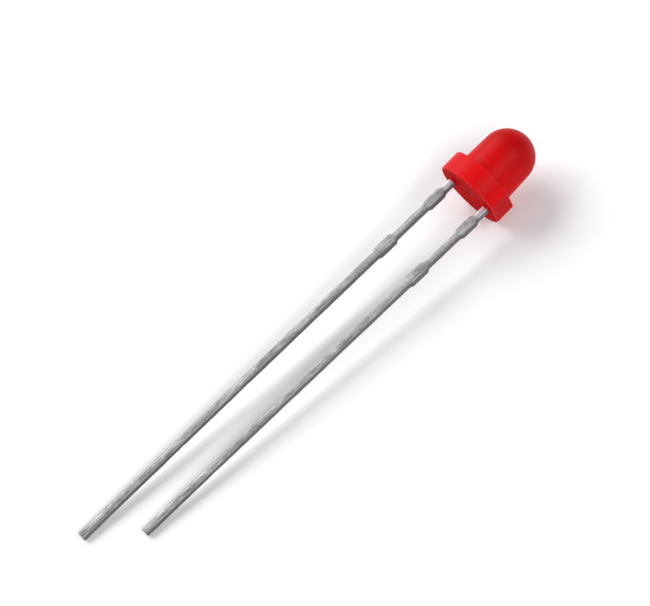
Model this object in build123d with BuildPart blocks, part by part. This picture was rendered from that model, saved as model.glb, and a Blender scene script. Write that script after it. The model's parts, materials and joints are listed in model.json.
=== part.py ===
from build123d import *
from math import asin, atan2, cos, radians, sin
import os

# A 3 mm class through-hole light-emitting diode, lying on a flat surface as it comes to rest: on the rim of
# its flange and on the tips of its two legs. All sizes are in millimetres.
#
# The legs and the lead frame inside the lens are stamped from one sheet. Heights are measured from the lens's
# seat, the underside of its flange: towards the dome they are positive, and down the legs they are negative.

# ---- lens body: one casting of red, clouded epoxy ----------------------------------------------------
flange_diameter = 4.12
flange_thickness = 1.2
barrel_diameter = 3.16         # where the barrel leaves the flange
dome_diameter = 3.05           # where the barrel meets the dome, smaller by the mould's draft
overall_height = 4.4           # seat to the top of the dome
flat_distance = 1.91           # lens axis to the flat that marks the cathode side
flat_corner_radius = 0.12      # where the flat runs into the round of the flange
rim_radius = 0.09              # rounding of the flange's edge at the seat
shoulder_radius = 0.05         # rounding of the flange's edge on the dome's side
dish_depth = 0.12              # hollow in the seat, left where the epoxy shrank in the mould
dish_margin = 0.03             # between the hollow and the rounding of the flat's edge
meniscus_height = 0.06         # epoxy that crept up each leg while it set
meniscus_wall = 0.03           # its thickness at the thin end, around the leg
meniscus_slope = 19            # degrees from the leg

# ---- legs and lead frame: one stamped and tinned sheet -----------------------------------------------
sheet_thickness = 0.42
edge_radius = 0.07             # rounding of the tinned edges
lead_pitch = 2.54              # between the legs' centre lines at the seat
tip_pitch = 2.38               # between them at the anode's tip: the legs close in slightly
anode_length = 27.2            # seat to tip
cathode_length = 24.7
neck_width = 0.38              # leg width from the seat down to the second stub
anode_tip_width = 0.50         # the solder dip leaves the legs fatter at their ends
cathode_tip_width = 0.45
leg_width = 0.43               # just below the second stub

# the two wider stubs on each leg, where the tie bars were sheared off
upper_stub_top = 0.75
upper_stub_length = 1.30
upper_stub_width = 0.54
lower_stub_top = 4.35
lower_stub_length = 1.40
lower_stub_width = 0.58
stub_shoulder = 0.16           # length of the taper at each end of a stub

# ---- inside the lens ---------------------------------------------------------------------------------
frame_top = 2.30               # top of the anode post
frame_bend = 0.85              # where the two halves of the frame turn inwards
post_width = 0.36
post_offset = 0.95             # middle of the frame to the middle of the anode post
post_inner_rise = 0.45         # length of the slope on the post's inner side
post_outer_rise = 0.30         # how much later the outer side turns
anvil_foot = 0.55              # where the anvil's inner edge leaves the leg
anvil_rise = 0.90              # height of that edge's slope
anvil_half = 0.40              # half the anvil's width at its top
anvil_undercut = 0.15          # how much narrower it is at the top of the slope
anvil_top = 1.98
cup_top = 2.35
cup_rim_diameter = 1.04        # outside, at the top
cup_foot_diameter = 0.74       # outside, where the head runs out on the anvil
cup_root = 0.10                # how far the head runs down over the anvil's top
cup_mouth_diameter = 0.88
cup_floor_diameter = 0.50
cup_depth = 0.26
chip_width = 0.25
chip_height = 0.15
adhesive_diameter = 0.40
adhesive_thickness = 0.035
adhesive_rounding = 0.014
wire_diameter = 0.03
ball_diameter = 0.09
ball_height = 0.035
loop_height = 0.30             # top of the wire's loop above the anode post
loop_reach = 0.43              # where along x that top is
stitch_length = 0.14
stitch_width = 0.09

# ---- how it lies, and how the lens sits on the legs --------------------------------------------------
lens_lean = 2.3                # degrees: the frame sat askew in the mould, so the lens leans to the anode
lens_twist = -1.0              # degrees: how far the flat is turned out of the line of the two legs

flange_r = flange_diameter / 2
barrel_r = barrel_diameter / 2
dome_r = dome_diameter / 2
dome_centre = overall_height - dome_r

mean_length = (anode_length + cathode_length) / 2
pitch_up = atan2(flange_r - sheet_thickness / 2, mean_length)
roll = asin((anode_length - cathode_length) * sin(pitch_up) / (cos(pitch_up) * tip_pitch))

# the lead frame's own axes: z along the legs towards the dome, x towards the anode, y up
seat_x = (anode_length - overall_height) / 2 * cos(pitch_up)
seat_z = flange_r * cos(pitch_up)
led = Plane(
    origin=(seat_x, 0, seat_z),
    x_dir=(-sin(roll) * sin(pitch_up), cos(roll), sin(roll) * cos(pitch_up)),
    z_dir=(cos(pitch_up), 0, sin(pitch_up)),
)
sheet = Plane(origin=led.origin, x_dir=led.x_dir, z_dir=-led.y_dir)          # the sheet's middle plane
lens_seat = Plane(led.location * Rotation(0, lens_lean, 0))                  # the lens's axes at its seat
flat_seat = Plane(led.location * Rotation(0, lens_lean, lens_twist))         # the same, turned to the flat
lens_section = Plane(origin=lens_seat.origin, x_dir=lens_seat.x_dir, z_dir=-lens_seat.y_dir)
lens_axis = Axis(lens_seat.origin, lens_seat.z_dir)
cup_axis = Axis(led.origin, led.z_dir)


def leg_edges(side, length, tip_width):
    """Outline points down the outer edge of a leg and back up its inner edge, from the seat to the seat.

    side is +1 for the anode and -1 for the cathode. The leg's centre line closes in evenly towards the tip.
    """
    closing = (lead_pitch - tip_pitch) / 2 / anode_length
    stations = []
    for top, run, width, above, below in (
        (upper_stub_top, upper_stub_length, upper_stub_width, neck_width, neck_width),
        (lower_stub_top, lower_stub_length, lower_stub_width, neck_width, leg_width),
    ):
        stations += [
            (top, above),
            (top + stub_shoulder, width),
            (top + run - stub_shoulder, width),
            (top + run, below),
        ]
    stations.append((length, tip_width))
    outer = []
    inner = []
    for depth, width in stations:
        centre = lead_pitch / 2 - closing * depth
        outer.append((side * (centre + width / 2), -depth))
        inner.append((side * (centre - width / 2), -depth))
    return outer, inner[::-1]


leg_outside = lead_pitch / 2 + neck_width / 2
leg_inside = lead_pitch / 2 - neck_width / 2

# ---- anode: the longer leg, and the post that the wire is bonded to ----------------------------------
outer, inner = leg_edges(1, anode_length, anode_tip_width)
post_outer = post_offset + post_width / 2
post_inner = post_offset - post_width / 2
with BuildPart() as anode_lead:
    with BuildSketch(sheet):
        with BuildLine():
            Polyline(
                (leg_inside, frame_bend),
                (post_inner, frame_bend + post_inner_rise),
                (post_inner, frame_top),
                (post_outer, frame_top),
                (leg_outside, frame_bend + post_outer_rise),
                *outer,
                *inner,
                close=True,
            )
        make_face()
    extrude(amount=sheet_thickness / 2, both=True)
    fillet(anode_lead.faces().filter_by(Axis(led.origin, led.y_dir)).edges(), radius=edge_radius)
anode_lead.part.label = "anode_lead"

# ---- cathode: the shorter leg, the anvil, and the reflector cup coined in the anvil's head -----------
outer, inner = leg_edges(-1, cathode_length, cathode_tip_width)
with BuildPart() as cathode_lead:
    with BuildSketch(sheet):
        with BuildLine():
            Polyline(
                (-leg_inside, anvil_foot),
                (anvil_half - anvil_undercut, anvil_foot + anvil_rise),
                (anvil_half, anvil_top),
                (-anvil_half, anvil_top),
                (-leg_outside, frame_bend),
                *outer,
                *inner,
                close=True,
            )
        make_face()
    extrude(amount=sheet_thickness / 2, both=True)
    fillet(cathode_lead.faces().filter_by(Axis(led.origin, led.y_dir)).edges(), radius=edge_radius)
    with BuildSketch(sheet):
        with BuildLine():
            Polyline(
                (0, anvil_top - cup_root),
                (cup_foot_diameter / 2, anvil_top - cup_root),
                (cup_rim_diameter / 2, cup_top),
                (cup_mouth_diameter / 2, cup_top),
                (cup_floor_diameter / 2, cup_top - cup_depth),
                (0, cup_top - cup_depth),
                close=True,
            )
        make_face()
    revolve(axis=cup_axis)
cathode_lead.part.label = "cathode_lead"

# ---- chip, on a drop of silver-filled adhesive in the cup --------------------------------------------
cup_floor = cup_top - cup_depth
chip_foot = cup_floor + adhesive_thickness
chip_top = chip_foot + chip_height
with BuildPart() as chip_adhesive:
    with BuildSketch(led.offset(cup_floor)):
        Circle(adhesive_diameter / 2)
    extrude(amount=adhesive_thickness)
    fillet(chip_adhesive.edges().group_by(Axis(led.origin, led.z_dir))[-1], radius=adhesive_rounding)
chip_adhesive.part.label = "chip_adhesive"

with BuildPart() as led_chip:
    with BuildSketch(led.offset(chip_foot)):
        Rectangle(chip_width, chip_width)
    extrude(amount=chip_height)
led_chip.part.label = "led_chip"

# ---- bond wire: a ball on the chip, one loop, and a stitch on the anode post -------------------------
wire_r = wire_diameter / 2
with BuildPart() as bond_wire:
    with BuildSketch(led.offset(chip_top)):
        Circle(ball_diameter / 2)
    extrude(amount=ball_height)
    with BuildSketch(Plane(led.offset(frame_top).location * Location((post_offset, 0, 0)))):
        Rectangle(stitch_length, stitch_width)
    extrude(amount=wire_diameter)
    with BuildLine(sheet) as loop:
        ThreePointArc(
            (0, chip_top + ball_height / 2),
            (loop_reach, frame_top + loop_height),
            (post_offset, frame_top + wire_r),
        )
    with BuildSketch(Plane(origin=loop.line @ 0, z_dir=loop.line % 0)):
        Circle(wire_r)
    sweep()
bond_wire.part.label = "bond_wire"

# ---- lens body, cast around everything above ---------------------------------------------------------
dish_r = flat_distance - rim_radius - dish_margin
dish_sphere_r = (dish_r**2 + dish_depth**2) / (2 * dish_depth)
leg_foot = lead_pitch / 2 / cos(radians(lens_lean))     # where a leg's centre line crosses the seat
with BuildPart() as lens_body:
    # the flange, with its flat on the cathode's side
    with BuildSketch(flat_seat) as flange_outline:
        Circle(flange_r)
        with Locations((-flat_distance, 0)):
            Rectangle(flange_r, flange_diameter, align=(Align.MAX, Align.CENTER), mode=Mode.SUBTRACT)
        fillet(flange_outline.vertices(), radius=flat_corner_radius)
    extrude(amount=flange_thickness)
    fillet(lens_body.edges().group_by(lens_axis)[0], radius=rim_radius)
    fillet(lens_body.edges().group_by(lens_axis)[-1], radius=shoulder_radius)
    # the barrel and the dome
    with BuildSketch(lens_section):
        with BuildLine():
            Polyline(
                (0, overall_height),
                (0, flange_thickness / 2),
                (barrel_r, flange_thickness / 2),
                (barrel_r, flange_thickness),
                (dome_r, dome_centre),
            )
            CenterArc((0, dome_centre), dome_r, 0, 90)
        make_face()
    revolve(axis=lens_axis)
    # the shallow hollow in the seat, part of a sphere
    with Locations(lens_seat.offset(dish_depth - dish_sphere_r)):
        Sphere(dish_sphere_r, mode=Mode.SUBTRACT)
    # the epoxy that crept up each leg
    with BuildSketch(lens_seat.offset(-meniscus_height)):
        with Locations((leg_foot, 0), (-leg_foot, 0)):
            RectangleRounded(
                neck_width + 2 * meniscus_wall,
                sheet_thickness + 2 * meniscus_wall,
                edge_radius + meniscus_wall,
            )
    extrude(amount=meniscus_height + dish_depth, taper=-meniscus_slope)
    # the room that the pieces inside take up
    for piece in (anode_lead, cathode_lead, chip_adhesive, led_chip, bond_wire):
        add(piece.part, mode=Mode.SUBTRACT)
lens_body.part.label = "lens_body"

os.makedirs("parts", exist_ok=True)
for piece in (lens_body, anode_lead, cathode_lead, chip_adhesive, led_chip, bond_wire):
    export_step(piece.part, f"parts/{piece.part.label}.step")
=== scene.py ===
import json
from math import cos, pi, radians, sin

import bpy
import numpy as np
from mathutils import Matrix, Vector


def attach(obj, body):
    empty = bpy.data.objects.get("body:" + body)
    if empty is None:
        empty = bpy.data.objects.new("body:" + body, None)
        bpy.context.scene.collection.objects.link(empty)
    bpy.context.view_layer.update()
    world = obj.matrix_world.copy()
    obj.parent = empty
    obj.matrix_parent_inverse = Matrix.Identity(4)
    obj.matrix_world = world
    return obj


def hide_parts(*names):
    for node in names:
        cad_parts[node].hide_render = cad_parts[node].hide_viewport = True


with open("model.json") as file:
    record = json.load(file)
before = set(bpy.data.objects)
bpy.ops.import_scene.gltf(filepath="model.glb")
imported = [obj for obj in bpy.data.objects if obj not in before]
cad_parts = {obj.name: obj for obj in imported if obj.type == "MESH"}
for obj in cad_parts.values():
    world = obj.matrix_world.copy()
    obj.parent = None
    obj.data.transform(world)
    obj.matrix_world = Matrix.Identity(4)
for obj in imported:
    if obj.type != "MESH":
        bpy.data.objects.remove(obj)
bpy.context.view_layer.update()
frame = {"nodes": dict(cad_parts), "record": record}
MM = 0.001

# ---- sizes of the lens, in millimetres --------------------------------------------------------------
FLANGE_R = 2.06
FLANGE_THICKNESS = 1.2
BARREL_R = 1.58                # at the flange
DOME_R = 1.525                 # the mould's draft makes the barrel narrower here
OVERALL_HEIGHT = 4.4
FLAT_DISTANCE = 1.91
FLAT_CORNER_R = 0.12
FLAT_TWIST = radians(-1.0)     # how far the flat is turned out of the line of the two legs
RIM_R = 0.09
SHOULDER_R = 0.06
ROOT_R = 0.07                  # hollow corner between shoulder and barrel
DISH_DEPTH = 0.12
DISH_R = FLAT_DISTANCE - RIM_R - 0.03
MENISCUS_HEIGHT = 0.06
MENISCUS_REACH = 0.045
BARREL_PAINTED_SHADE = 0.14            # painted shade: how much deeper the red is made, from 0 to 1
DOME_PAINTED_SHADE = 0.38
FLAT_PAINTED_SHADE = 0.42

# ---- sizes of the legs and the lead frame -----------------------------------------------------------
SHEET = 0.42
LEAD_PITCH = 2.54
TIP_PITCH = 2.38
ANODE_LENGTH = 27.2
CATHODE_LENGTH = 24.7
NECK_WIDTH = 0.38
LEG_WIDTH = 0.43
ANODE_TIP_WIDTH = 0.50
CATHODE_TIP_WIDTH = 0.45
UPPER_STUB = (0.75, 1.30, 0.54)        # top, length and width
LOWER_STUB = (4.35, 1.40, 0.58)
STUB_SHOULDER = 0.16
FRAME_TOP = 2.30
CUP_TOP = 2.35
CUP_DEPTH = 0.26
SHEET_EDGE_R = 0.07            # rounding of the sheet's edges at the seat and inside the lens
LEG_EDGE_R = 0.085             # of the tinned edges below the seat
TIP_EDGE_R = 0.14              # and at the tips, where the tin is thicker
STUB_EDGE_R = 0.045
ANODE_TIP_ROUNDING = 0.05
CATHODE_TIP_ROUNDING = 0.09

# ---- sizes of the lead frame inside the lens --------------------------------------------------------
LEG_OUTSIDE = LEAD_PITCH / 2 + NECK_WIDTH / 2      # a lead's two sides, from the lens's middle
LEG_INSIDE = LEAD_PITCH / 2 - NECK_WIDTH / 2
FIRST_RING = 0.3               # height of a lead's first ring above the seat
FRAME_BEND = 0.85              # where the two halves of the frame turn inwards
POST_OUTSIDE = 1.13
POST_INSIDE = 0.77
POST_INNER_RISE = 0.45         # length of the slope on the post's inner side
POST_OUTER_RISE = 0.30         # how much later its outer side turns
POST_ROUNDING = 0.02
ANVIL_FOOT = 0.55              # where the anvil's inner edge leaves the leg
ANVIL_RISE = 0.90              # height of that edge's slope
ANVIL_HALF = 0.40              # half the anvil's width at its top
ANVIL_UNDERCUT = 0.15          # how much narrower it is at the top of the slope
ANVIL_TOP = 1.98
CUP_RIM = 0.01                 # rounding of the cup's rim
CUP_MOUTH_R = 0.44
CUP_WALL_RUN = 0.19            # how much narrower the cup's floor is than its mouth


# ---- directions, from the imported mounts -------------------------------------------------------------
def unit(vector):
    """A vector divided by its own length."""
    return vector / np.linalg.norm(vector)


mounts = {mount["name"]: mount for mount in frame["record"]["mounts"]}
SEAT = np.array(mounts["legs"]["pos_m"]) / MM
ALONG = -np.array(mounts["legs"]["axis"])                  # up the legs, towards the dome
LENS_AXIS = np.array(mounts["flange_rim"]["axis"])
ACROSS = unit(LENS_AXIS - (LENS_AXIS @ ALONG) * ALONG)     # from the cathode to the anode
UP = np.cross(ALONG, ACROSS)
LEG_AXES = np.stack([ACROSS, UP, ALONG])
LENS_AXES = np.stack([np.cross(UP, LENS_AXIS), UP, LENS_AXIS])


# ---- meshes from grids ------------------------------------------------------------------------------
def skin(name, rings, first_pole, last_pole, axes, values):
    """A closed surface from a stack of rings of points, in millimetres from the seat along three axes.

    Ring i and ring i + 1 are joined point by point, the last point of a ring to its first, and the two end
    rings run to a pole each. Rings turn anticlockwise about the third axis. values holds one number for each
    ring point by name, kept on the mesh as an attribute.
    """
    count, turn = rings.shape[:2]
    points = np.concatenate([rings.reshape(-1, 3), [first_pole, last_pole]])
    points = (SEAT + points @ axes) * MM
    here = np.arange(count * turn).reshape(count, turn)
    after = np.roll(here, -1, axis=1)
    quads = np.stack([here[:-1], after[:-1], after[1:], here[1:]], axis=-1).reshape(-1, 4)
    low = np.stack([np.full(turn, count * turn), after[0], here[0]], axis=-1)
    high = np.stack([here[-1], after[-1], np.full(turn, count * turn + 1)], axis=-1)
    mesh = bpy.data.meshes.new(name)
    mesh.from_pydata(points.tolist(), [], quads.tolist() + low.tolist() + high.tolist())
    mesh.polygons.foreach_set("use_smooth", np.ones(len(mesh.polygons), dtype=bool))
    for key, grid in values.items():
        attribute = mesh.attributes.new(key, "FLOAT", "POINT")
        flat = np.concatenate([grid.reshape(-1), [grid[0].mean(), grid[-1].mean()]])
        attribute.data.foreach_set("value", flat.astype(np.float32))
    mesh.update()
    piece = bpy.data.objects.new(name, mesh)
    bpy.context.scene.collection.objects.link(piece)
    return piece


def ripple(rng, along, around, longest, waves=9):
    """Smooth unevenness between about -1 and 1 over a surface.

    It is a sum of sine waves of falling length along the piece, each also turning a whole number of times
    around it, with random phases.
    """
    total = np.zeros(np.broadcast(along, around).shape)
    for order in range(1, waves + 1):
        turns = rng.integers(-2, 3)
        length = longest / order ** 0.9
        total += np.sin(2 * pi * along / length + turns * around + rng.uniform(0, 2 * pi)) / order ** 0.7
    return total / 2.2


# ---- lens body --------------------------------------------------------------------------------------
def outline(angle, inset):
    """Radius of the flange's outline at an angle from the flat's middle, drawn in by inset.

    It is the circle's radius, the flat's distance divided by the cosine of the angle, or, between the two,
    the far crossing of the ray with the small circle that rounds the corner.
    """
    circle = FLANGE_R - inset
    flat = FLAT_DISTANCE - inset
    corner = np.maximum(FLAT_CORNER_R - inset, 0.01)
    centre_x = flat - corner
    centre_y = np.sqrt((circle - corner) ** 2 - centre_x ** 2)
    ray = np.abs(angle)
    flat_end = np.arctan2(centre_y, flat)
    round_start = np.arctan2(centre_y, centre_x)
    reach = centre_x * np.cos(ray) + centre_y * np.sin(ray)
    rounding = reach ** 2 - centre_x ** 2 - centre_y ** 2 + corner ** 2
    rounded = reach + np.sqrt(np.maximum(rounding, 0))
    straight = flat / np.maximum(np.cos(ray), 0.1)
    return np.where(ray < flat_end, straight, np.where(ray < round_start, rounded, circle))


def lens_angles():
    """Angles about the lens axis, closer together at the two legs and at the flat's two corners."""
    corner = np.arccos(FLAT_DISTANCE / FLANGE_R)
    flat_middle = pi + FLAT_TWIST
    spread = np.linspace(-1, 1, 41)
    angles = [np.linspace(0, 2 * pi, 240, endpoint=False), spread * 0.30, pi + spread * 0.30]
    for side in (-1, 1):
        angles.append(flat_middle + side * (corner - 0.02) + spread[::2] * 0.09)
    return np.unique(np.round(np.concatenate(angles) % (2 * pi), 5))


def leg_gap(x, y):
    """Distance from a point of the seat to the nearer leg's rounded rectangle, below 0 inside it."""
    corner = SHEET_EDGE_R
    centre = LEAD_PITCH / 2 / (LENS_AXES[2] @ ALONG)
    side_x = np.abs(np.abs(x) - centre) - NECK_WIDTH / 2 + corner
    side_y = np.abs(y) - SHEET / 2 + corner
    outside = np.hypot(np.maximum(side_x, 0), np.maximum(side_y, 0))
    return outside + np.minimum(np.maximum(side_x, side_y), 0) - corner


def lens_body():
    """The whole casting as one surface of angle and station.

    The stations run from the middle of the seat out over the dish, round the rim, up the flange's edge, in
    along the shoulder, up the barrel and over the dome. The dish is part of a sphere. Each leg's meniscus is
    a drop in height that fades with the exponential of the distance to the leg.
    """
    rng = np.random.default_rng(3)
    angle = lens_angles()
    from_flat = (angle - pi - FLAT_TWIST + pi) % (2 * pi) - pi
    radii, heights, edge = [], [], []

    def station(radius, height, lit=0.0):
        radii.append(radius + 0 * angle)
        heights.append(height + 0 * angle)
        edge.append(lit + 0 * angle)

    sphere_r = (DISH_R ** 2 + DISH_DEPTH ** 2) / (2 * DISH_DEPTH)
    inner = outline(from_flat, RIM_R)
    for r in np.concatenate([np.linspace(0.03, 0.95, 24), np.linspace(0.97, DISH_R, 34)]):
        station(r, DISH_DEPTH - sphere_r + np.sqrt(sphere_r ** 2 - r ** 2))
    for share in np.linspace(0.1, 1, 14):
        station(DISH_R + (inner - DISH_R) * share, 0.0)
    seat_rows = len(radii)
    # painted highlight on the rounded rim, strongest halfway round the curve
    for turn in np.linspace(0, pi / 2, 9)[1:]:
        station(outline(from_flat, RIM_R * (1 - sin(turn))), RIM_R * (1 - cos(turn)), sin(2 * turn) ** 0.5)
    for share in np.linspace(0, 1, 14)[1:-1]:
        station(outline(from_flat, 0.0), RIM_R + (FLANGE_THICKNESS - SHOULDER_R - RIM_R) * share)
    # painted highlight on the rounded shoulder as well
    for turn in np.linspace(0, pi / 2, 7):
        height = FLANGE_THICKNESS - SHOULDER_R + SHOULDER_R * sin(turn)
        station(outline(from_flat, SHOULDER_R * (1 - cos(turn))), height, max(sin(2 * turn), 0) ** 0.5)
    shoulder = outline(from_flat, SHOULDER_R)
    for share in np.linspace(0, 1, 8)[1:-1]:
        station(shoulder + (BARREL_R + ROOT_R - shoulder) * share, FLANGE_THICKNESS)
    for turn in np.linspace(0, pi / 2, 7):
        station(BARREL_R + ROOT_R * (1 - sin(turn)), FLANGE_THICKNESS + ROOT_R * (1 - cos(turn)))
    dome_centre = OVERALL_HEIGHT - DOME_R
    for share in np.linspace(0, 1, 18)[1:]:
        height = FLANGE_THICKNESS + ROOT_R + (dome_centre - FLANGE_THICKNESS - ROOT_R) * share
        station(BARREL_R + (DOME_R - BARREL_R) * share, height)
    for turn in np.linspace(0, pi / 2, 42)[1:-1]:
        station(DOME_R * cos(turn), dome_centre + DOME_R * sin(turn))

    radii, heights, edge = np.array(radii), np.array(heights), np.array(edge)
    x = radii * np.cos(angle)
    y = radii * np.sin(angle)
    in_seat = (np.arange(len(radii)) < seat_rows)[:, None]
    gap = np.maximum(leg_gap(x, y), 0)
    pull = np.exp(-gap / MENISCUS_REACH)
    uneven = ripple(rng, radii * 2.0, angle, 2.4) * 0.012 * np.clip((1.5 - radii) / 0.3, 0, 1)
    heights = heights + in_seat * (uneven - (MENISCUS_HEIGHT + np.maximum(heights, 0)) * pull)
    rings = np.stack([x, y, heights], axis=-1)
    # masks for the painted shade on the dome, the barrel and the flat
    in_dome = np.clip((heights - 2.0) / 1.2, 0, 1)
    in_barrel = np.clip((heights - FLANGE_THICKNESS) / ROOT_R, 0, 1)
    on_flat = (np.abs(from_flat) < np.arccos(FLAT_DISTANCE / FLANGE_R)) * (1 - in_barrel)
    values = {
        # painted highlight on the rounded rim and shoulder
        "edge": edge,
        "creep": in_seat * pull,
        # painted shade, deepest on the flat and the dome, weaker on the barrel
        "shade": BARREL_PAINTED_SHADE * in_barrel + DOME_PAINTED_SHADE * in_dome + FLAT_PAINTED_SHADE * on_flat,
    }
    piece = skin("lens_casting", rings, (0, 0, heights[0].mean()), (0, 0, OVERALL_HEIGHT), LENS_AXES, values)
    ring_quads = (len(radii) - 1) * len(angle)
    face = np.arange(len(piece.data.polygons))
    in_seat_faces = (face < (seat_rows - 1) * len(angle)) | (
        (face >= ring_quads) & (face < ring_quads + len(angle))
    )
    piece.data.materials.append(clouded_epoxy())
    piece.data.materials.append(shrunk_epoxy())
    piece.data.polygons.foreach_set("material_index", in_seat_faces.astype(np.int32))
    return piece


# ---- legs and lead frame ----------------------------------------------------------------------------
def leg_sides(depth, length, tip_width):
    """Centre line and width of a leg at each depth below the seat, by straight stretches between stations."""
    stations, widths = [0.0], [NECK_WIDTH]
    for (top, run, width), below in ((UPPER_STUB, NECK_WIDTH), (LOWER_STUB, LEG_WIDTH)):
        stations += [top, top + STUB_SHOULDER, top + run - STUB_SHOULDER, top + run]
        widths += [NECK_WIDTH, width, width, below]
    width = np.interp(depth, stations + [length], widths + [tip_width])
    centre = LEAD_PITCH / 2 - (LEAD_PITCH - TIP_PITCH) / 2 / ANODE_LENGTH * depth
    return centre, width


def stub_share(depth):
    """1 on the sheared stubs and 0 on the plain leg, with a short run between the two."""
    share = np.zeros_like(depth)
    for top, run, _ in (UPPER_STUB, LOWER_STUB):
        share = np.maximum(share, np.clip(np.minimum(depth - top, top + run - depth) / 0.2, 0, 1))
    return share


def rounded_sections(centre, half_width, half_thickness, corner, height):
    """Rings of a rounded rectangle, one for each height: four quarter circles joined by straight sides."""
    turn = np.linspace(0, pi / 2, 8)
    quarter = np.arange(4)[:, None] * pi / 2
    angle = (quarter + turn).reshape(-1)
    side = (quarter + pi / 4 + 0 * turn).reshape(-1)
    sign_x, sign_y = np.sign(np.cos(side)), np.sign(np.sin(side))
    a, b, c, m, h = (v[:, None] for v in (half_width, half_thickness, corner, centre, height))
    x = m + sign_x * (a - c) + c * np.cos(angle)
    y = sign_y * (b - c) + c * np.sin(angle)
    return np.stack([x, y, h + 0 * x], axis=-1), angle


def leg_heights(length):
    """Heights of the rings of a leg from its tip to the seat, with one at each corner of its outline."""
    stations = [0.0]
    for top, run, _ in (UPPER_STUB, LOWER_STUB):
        for depth in (top, top + STUB_SHOULDER, top + run - STUB_SHOULDER, top + run):
            stations += [depth - 0.02, depth, depth + 0.02]
    even = np.linspace(0, length, 420)
    return -np.unique(np.round(np.concatenate([even, stations]), 4))[::-1]


def cut_end(length, centre, half_width, half_thickness, corner, rounding):
    """Rings that close a leg's tip: its section drawn in along a quarter circle, then flat to the middle."""
    turn = np.linspace(0, pi / 2, 6)[:-1]
    drawn_in = np.concatenate([[half_thickness * 0.6], rounding * (1 - np.sin(turn))])
    height = -length + np.concatenate([[0.0], rounding * (1 - np.cos(turn))])
    return (
        centre + 0 * height,
        half_width - drawn_in,
        half_thickness - drawn_in,
        np.maximum(corner - drawn_in, 0.03),
        height,
    )


def leg_below_seat(side, length, tip_width, tip_rounding):
    """Centre, half width, half thickness, corner and height of a leg's rings, from the tip to the seat."""
    height = leg_heights(length - tip_rounding)
    depth = -height
    centre, width = leg_sides(depth, length, tip_width)
    stub = stub_share(depth)
    near_tip = np.clip((depth - 6) / 12, 0, 1)
    plain = LEG_EDGE_R + (TIP_EDGE_R - LEG_EDGE_R) * near_tip
    corner = plain * (1 - stub) + STUB_EDGE_R * stub
    half_thickness = SHEET / 2 + 0 * depth
    tip = cut_end(length, centre[0], width[0] / 2, SHEET / 2, corner[0], tip_rounding)
    rows = (centre, width / 2, half_thickness, corner, height)
    centre, half_width, half_thickness, corner, height = (
        np.concatenate(pair) for pair in zip(tip, rows)
    )
    return side * centre, half_width, half_thickness, corner, height


def anode_post():
    """Rings of the anode inside the lens: the outer side turns in later than the inner one."""
    outer_bend = FRAME_BEND + POST_OUTER_RISE
    inner_end = FRAME_BEND + POST_INNER_RISE
    bends = [FIRST_RING, FRAME_BEND, 0.95, 1.05, outer_bend, inner_end]
    height = np.array(bends + [1.5, 1.8, 2.1, FRAME_TOP - POST_ROUNDING, FRAME_TOP])
    outer = np.interp(height, [0, outer_bend, FRAME_TOP], [LEG_OUTSIDE, LEG_OUTSIDE, POST_OUTSIDE])
    inner = np.interp(
        height,
        [0, FRAME_BEND, inner_end, FRAME_TOP],
        [LEG_INSIDE, LEG_INSIDE, POST_INSIDE, POST_INSIDE],
    )
    drawn_in = np.where(height == FRAME_TOP, POST_ROUNDING, 0)
    half_width = (outer - inner) / 2 - drawn_in
    return (outer + inner) / 2, half_width, SHEET / 2 - drawn_in, SHEET_EDGE_R + 0 * height, height


def cathode_anvil():
    """Rings of the cathode inside the lens: the anvil, then the round head with the reflector cup in it.

    The head is a cone that opens upwards, its rim is flat, and the cup's wall runs back down to its floor.
    """
    slope_top = ANVIL_FOOT + ANVIL_RISE
    height = np.array([FIRST_RING, ANVIL_FOOT, FRAME_BEND, 1.0, 1.15, 1.3, slope_top, 1.7, 1.96, ANVIL_TOP])
    outer = np.interp(height, [0, FRAME_BEND, ANVIL_TOP], [-LEG_OUTSIDE, -LEG_OUTSIDE, -ANVIL_HALF])
    inner = np.interp(
        height,
        [0, ANVIL_FOOT, slope_top, ANVIL_TOP],
        [-LEG_INSIDE, -LEG_INSIDE, ANVIL_HALF - ANVIL_UNDERCUT, ANVIL_HALF],
    )
    rim = CUP_TOP - CUP_RIM
    head_height = np.array([ANVIL_TOP + 0.005, 2.1, 2.25, rim, CUP_TOP, CUP_TOP, rim])
    head_r = np.array([0.418, 0.449, 0.492, 0.517, 0.51, 0.45, 0.437])
    wall = np.linspace(0, 1, 6)[1:]
    head_height = np.concatenate([head_height, CUP_TOP - CUP_DEPTH * wall, [CUP_TOP - CUP_DEPTH]])
    head_r = np.concatenate([head_r, CUP_MOUTH_R - CUP_WALL_RUN * wall, [0.12]])
    centre = np.concatenate([(outer + inner) / 2, 0 * head_r])
    half_width = np.concatenate([(inner - outer) / 2, head_r])
    half_thickness = np.concatenate([SHEET / 2 + 0 * height, head_r])
    corner = np.concatenate([SHEET_EDGE_R + 0 * height, head_r * 0.999])
    return centre, half_width, half_thickness, corner, np.concatenate([height, head_height])


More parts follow.
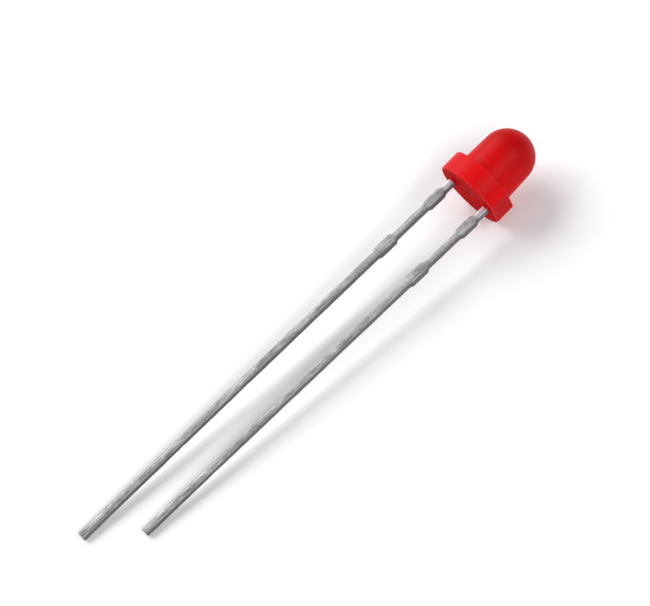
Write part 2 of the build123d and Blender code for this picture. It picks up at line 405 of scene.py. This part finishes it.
def tinned_lead(name, seed, below, inside, material):
    """One stamped lead as a stack of rounded rectangles, with the unevenness of the tin it was dipped in.

    Each point moves out or in along its own ring by a smooth ripple that grows towards the tip.
    """
    rng = np.random.default_rng(seed)
    centre, half_width, half_thickness, corner, height = (
        np.concatenate(pair) for pair in zip(below, inside)
    )
    rings, angle = rounded_sections(centre, half_width, half_thickness, corner, height)
    depth = -height[:, None]
    outside = np.clip(depth / 0.3, 0, 1) * np.clip((-height.min() - depth) / 0.15, 0, 1)
    swell = (0.0025 + 0.006 * np.clip((depth - 5.5) / 8, 0, 1)) * (1 - 0.7 * stub_share(depth))
    move = outside * swell * (ripple(rng, depth, angle, 4.6) - 0.9)
    rings[..., 0] += move * np.cos(angle)
    rings[..., 1] += move * np.sin(angle)
    # mask of the narrow sheared sides, which carry painted shade and a rougher finish
    sheared = np.clip(np.abs(np.cos(angle)) * 2.4 - 1.1, 0, 1) + 0 * depth
    values = {"sheared": sheared, "depth": depth + 0 * sheared, "stub": stub_share(depth) + 0 * sheared}
    low = (centre[0], 0, height[0])
    high = (centre[-1], 0, height[-1])
    piece = skin(name, rings, low, high, LEG_AXES, values)
    piece.data.materials.append(material)
    return piece


# ---- finishes ---------------------------------------------------------------------------------------
class Value:
    """One output of a shader node. Arithmetic on it adds Math nodes to the same finish."""

    def __init__(self, finish, socket):
        self.finish = finish
        self.socket = socket

    def math(self, operation, first, second=0.0, clamp=False):
        settings = {"operation": operation, "use_clamp": clamp}
        return self.finish.node("ShaderNodeMath", settings, {0: first, 1: second})

    def __add__(self, other):
        return self.math("ADD", self, other)

    def __sub__(self, other):
        return self.math("SUBTRACT", self, other)

    def __rsub__(self, other):
        return self.math("SUBTRACT", other, self)

    def __mul__(self, other):
        return self.math("MULTIPLY", self, other)

    __radd__ = __add__
    __rmul__ = __mul__

    def clipped(self):
        return self.math("ADD", self, 0.0, clamp=True)

class Finish:
    """A material being built around its Principled shader."""

    def __init__(self, name, constants):
        self.material = bpy.data.materials.new(name)
        self.material.use_nodes = True
        self.tree = self.material.node_tree
        self.shader = self.tree.nodes["Principled BSDF"]
        for key, value in constants.items():
            self.shader.inputs[key].default_value = value

    def node(self, kind, settings, inputs, output=0):
        """A node of that kind with its settings, then its inputs, and the output asked for as a Value."""
        node = self.tree.nodes.new(kind)
        for key, value in settings.items():
            if key == "stops":
                self.set_stops(node.color_ramp, value)
            else:
                setattr(node, key, value)
        for key, value in inputs.items():
            self.plug(node.inputs[key], value)
        return Value(self, node.outputs[output])

    def plug(self, socket, value):
        if isinstance(value, Value):
            self.tree.links.new(value.socket, socket)
        else:
            socket.default_value = value

    def set_stops(self, ramp, stops):
        while len(ramp.elements) < len(stops):
            ramp.elements.new(0.5)
        for element, (place, shade) in zip(ramp.elements, stops):
            element.position = place
            element.color = shade

    def drive(self, **inputs):
        for key, value in inputs.items():
            self.plug(self.shader.inputs[key.replace("_", " ")], value)

    def place(self, stretch=(1, 1, 1)):
        """Object coordinates turned so that x runs along the legs, each axis multiplied by its stretch."""
        coordinates = self.node("ShaderNodeTexCoord", {}, {}, "Object")
        tilt = np.arctan2(ALONG[2], ALONG[0])
        settings = {"vector_type": "POINT"}
        inputs = {"Vector": coordinates, "Rotation": (0, tilt, 0), "Scale": stretch}
        return self.node("ShaderNodeMapping", settings, inputs)

    def noise(self, vector, scale, detail=3.0, roughness=0.55):
        inputs = {"Vector": vector, "Scale": scale, "Detail": detail, "Roughness": roughness}
        return self.node("ShaderNodeTexNoise", {"noise_dimensions": "3D"}, inputs, 0)

    def attribute(self, name):
        return self.node("ShaderNodeAttribute", {"attribute_name": name}, {}, "Fac")

    def ramp(self, factor, stops):
        return self.node("ShaderNodeValToRGB", {"stops": stops}, {"Fac": factor}, 0)

    def mix(self, factor, first, second):
        return self.node("ShaderNodeMix", {"data_type": "RGBA"}, {0: factor, 6: first, 7: second}, 2)

    def bump(self, height, strength, distance):
        inputs = {"Height": height, "Strength": strength, "Distance": distance}
        return self.node("ShaderNodeBump", {}, inputs)


EPOXY = {
    "Subsurface Weight": 0.25,
    "Subsurface Radius": (1.0, 0.04, 0.03),
    "Subsurface Scale": 0.0005,
    "IOR": 1.5,
}


def clouded_epoxy():
    """Red epoxy with fine clouding, a painted highlight on the rounded edges and painted shade on the barrel,
    the dome and the flat.
    """
    finish = Finish("clouded_epoxy", EPOXY | {"Specular IOR Level": 0.10})
    place = finish.place()
    cloud = finish.noise(place, 900.0, 4.0)
    grain = finish.noise(place, 14000.0, 2.0)
    dark_red = (0.50, 0.0002, 0.0010, 1)
    light_red = (0.74, 0.0015, 0.0040, 1)
    painted_shade_red = (0.30, 0.0006, 0.0004, 1)
    painted_highlight_red = (0.86, 0.03, 0.04, 1)
    body = finish.mix(cloud, dark_red, light_red)
    # painted shade on the barrel, the dome and the flat
    color = finish.mix(finish.attribute("shade"), body, painted_shade_red)
    # painted highlight on the rounded rim and shoulder
    color = finish.mix(finish.attribute("edge") * 0.30, color, painted_highlight_red)
    height = cloud * 0.6 + grain * 0.2
    finish.drive(
        Base_Color=color,
        Roughness=(0.38 + cloud * 0.18).clipped(),
        Normal=finish.bump(height, 0.25, 0.00002),
    )
    return finish.material


def shrunk_epoxy():
    """The open face of the casting: dull, mottled where it shrank, brighter where it crept up the legs."""
    finish = Finish("shrunk_epoxy", EPOXY | {"Specular IOR Level": 0.02})
    blotch = finish.noise(finish.place(), 2200.0, 4.0, 0.6)
    sunken = (0.42, 0.001, 0.001, 1)
    middle = (0.54, 0.002, 0.004, 1)
    raised = (0.64, 0.014, 0.018, 1)
    crept = (0.66, 0.01, 0.02, 1)
    mottled = finish.ramp(blotch, [(0.34, sunken), (0.50, middle), (0.66, raised)])
    color = finish.mix(finish.attribute("creep") * 0.6, mottled, crept)
    finish.drive(
        Base_Color=color,
        Roughness=(0.60 + blotch * 0.2).clipped(),
        Normal=finish.bump(blotch, 0.3, 0.00002),
    )
    return finish.material


def tinned_sheet():
    """Dull tin on stamped steel: fine marks along the leg, dip mottling, and painted shade on the narrow
    sheared sides.
    """
    finish = Finish("tinned_sheet", {"IOR": 1.6})
    marks = finish.noise(finish.place((60, 1500, 1500)), 8.0, 4.0, 0.6)
    speckle = finish.noise(finish.place(), 9000.0, 3.0, 0.65)
    mottle = finish.noise(finish.place((1, 2.4, 2.4)), 1100.0, 3.0)
    sheared = finish.attribute("sheared")
    stub = finish.attribute("stub")
    neck = ((UPPER_STUB[0] - finish.attribute("depth")) * 5.0).clipped()
    tone = (marks * 0.45 + speckle * 0.35 + mottle * 0.45 - 0.12).clipped()
    dark_tin = (0.12, 0.12, 0.118, 1)
    dull_tin = (0.27, 0.27, 0.265, 1)
    pale_tin = (0.50, 0.50, 0.49, 1)
    bright_neck = (0.80, 0.82, 0.83, 1)
    face = finish.ramp(tone, [(0.32, dark_tin), (0.50, dull_tin), (0.70, pale_tin)])
    # painted shade colour for the narrow sides
    edge = finish.mix(speckle, (0.07, 0.07, 0.07, 1), (0.22, 0.22, 0.218, 1))
    face = finish.mix(neck * marks * 0.9, face, bright_neck)
    # painted shade on the narrow sides
    color = finish.mix(sheared * 0.8, face, edge)
    roughness = (0.36 + mottle * 0.2 + sheared * 0.14 + stub * 0.06 - neck * 0.12).clipped()
    height = marks * 0.6 + speckle * 1.0
    finish.drive(
        Base_Color=color,
        Roughness=roughness,
        Metallic=(0.72 + marks * 0.2).clipped(),
        Normal=finish.bump(height, 0.6, 0.00002),
    )
    return finish.material


def chip_crystal():
    """Dark semiconductor with a fine sawn grain."""
    finish = Finish("chip_crystal", {"IOR": 2.4})
    grain = finish.noise(finish.place((4, 1, 1)), 20000.0, 2.0)
    color = finish.mix(grain, (0.10, 0.075, 0.065, 1), (0.26, 0.21, 0.19, 1))
    finish.drive(Base_Color=color, Roughness=0.22 + grain * 0.2, Normal=finish.bump(grain, 0.2, 0.000003))
    return finish.material


def silver_adhesive():
    """Silver flakes in epoxy: a sparkling grey paste."""
    finish = Finish("silver_adhesive", {"Metallic": 0.4})
    flakes = finish.noise(finish.place(), 30000.0, 2.0, 0.7)
    color = finish.mix(flakes, (0.40, 0.40, 0.39, 1), (0.80, 0.80, 0.78, 1))
    finish.drive(Base_Color=color, Roughness=0.65 - flakes * 0.3, Normal=finish.bump(flakes, 0.4, 0.000004))
    return finish.material


def gold_wire():
    """Drawn gold with faint die lines."""
    finish = Finish("gold_wire", {"Metallic": 1.0})
    lines = finish.noise(finish.place((0.2, 3, 3)), 40000.0, 2.0)
    color = finish.mix(lines, (0.72, 0.47, 0.15, 1), (0.92, 0.68, 0.30, 1))
    finish.drive(Base_Color=color, Roughness=0.18 + lines * 0.16, Normal=finish.bump(lines, 0.2, 0.000002))
    return finish.material


def floor_paint():
    """Matt off-white with a barely visible unevenness."""
    finish = Finish("floor_paint", {"IOR": 1.3})
    wash = finish.noise(finish.node("ShaderNodeTexCoord", {}, {}, "Object"), 30.0, 3.0)
    color = finish.mix(wash, (0.86, 0.86, 0.86, 1), (0.90, 0.90, 0.90, 1))
    finish.drive(Base_Color=color, Roughness=0.85 + wash * 0.1)
    return finish.material


# ---- pieces in place --------------------------------------------------------------------------------
def dress(piece, node):
    """A new piece rides on the body and stands for a CAD node."""
    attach(piece, "root")
    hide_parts(node)


tin = tinned_sheet()
anode_leg = leg_below_seat(1, ANODE_LENGTH, ANODE_TIP_WIDTH, ANODE_TIP_ROUNDING)
cathode_leg = leg_below_seat(-1, CATHODE_LENGTH, CATHODE_TIP_WIDTH, CATHODE_TIP_ROUNDING)
lens_casting = lens_body()
anode = tinned_lead("anode_leg_and_post", 11, anode_leg, anode_post(), tin)
cathode = tinned_lead("cathode_leg_and_cup", 23, cathode_leg, cathode_anvil(), tin)
dress(lens_casting, "lens_body")
dress(anode, "anode_lead")
dress(cathode, "cathode_lead")
for node, material in (
    ("led_chip", chip_crystal()),
    ("chip_adhesive", silver_adhesive()),
    ("bond_wire", gold_wire()),
):
    slots = frame["nodes"][node].data.materials
    slots.clear()
    slots.append(material)


# ---- floor, lights and camera -----------------------------------------------------------------------
def floor():
    """A square grid of points at height 0, level at the object and rising very gently far away."""
    span = np.linspace(-1, 1, 41)
    x, y = np.meshgrid(span, span)
    distance = np.hypot(x, y)
    z = 0.02 * np.maximum(distance - 0.6, 0) ** 2
    here = np.arange(x.size).reshape(x.shape)
    quads = np.stack([here[:-1, :-1], here[:-1, 1:], here[1:, 1:], here[1:, :-1]], axis=-1)
    mesh = bpy.data.meshes.new("studio_floor")
    points = np.stack([x, y, z], axis=-1).reshape(-1, 3)
    mesh.from_pydata(points.tolist(), [], quads.reshape(-1, 4).tolist())
    mesh.materials.append(floor_paint())
    piece = bpy.data.objects.new("studio_floor", mesh)
    bpy.context.scene.collection.objects.link(piece)


def soft_box(name, direction, distance, width, height, power):
    """A rectangular soft light at that distance in that direction, facing the object."""
    light = bpy.data.lights.new(name, "AREA")
    light.shape = "RECTANGLE"
    light.size = width
    light.size_y = height
    light.energy = power
    lamp = bpy.data.objects.new(name, light)
    towards = Vector(direction).normalized()
    lamp.location = towards * distance
    lamp.rotation_euler = (-towards).to_track_quat("-Z", "Y").to_euler()
    bpy.context.scene.collection.objects.link(lamp)


def studio_light():
    """Pale surroundings, a large key from the anode's side and a weaker fill from the cathode's side."""
    world = bpy.data.worlds.new("pale_room")
    world.use_nodes = True
    background = world.node_tree.nodes["Background"]
    background.inputs["Color"].default_value = (0.93, 0.95, 1.0, 1)
    background.inputs["Strength"].default_value = 0.30
    bpy.context.scene.world = world
    soft_box("key_light", (-0.10, 0.76, 0.64), distance=0.45, width=0.50, height=0.30, power=2.3)
    soft_box("fill_light", (0.10, -0.70, 0.70), distance=0.45, width=0.50, height=0.16, power=1.3)


def camera():
    """A long lens above the cathode's side, turned about its axis so that the LED runs up to the right."""
    azimuth, elevation, roll = radians(18.406), radians(56.291), radians(25.918)
    distance = 0.1957
    aim = Vector((0.002028, 0.001587, 0.001))
    view = Vector((cos(elevation) * sin(azimuth), cos(elevation) * cos(azimuth), -sin(elevation)))
    lens = bpy.data.cameras.new("long_lens")
    lens.lens = 204.9
    lens.sensor_width = 36.0
    lens.clip_start = 0.01
    lens.clip_end = 10.0
    holder = bpy.data.objects.new("long_lens", lens)
    turned = view.to_track_quat("-Z", "Y").to_matrix().to_4x4() @ Matrix.Rotation(-roll, 4, "Z")
    holder.matrix_world = Matrix.Translation(aim - view * distance) @ turned
    bpy.context.scene.collection.objects.link(holder)
    bpy.context.scene.camera = holder


floor()
studio_light()
camera()
bpy.context.scene.view_settings.view_transform = "Standard"
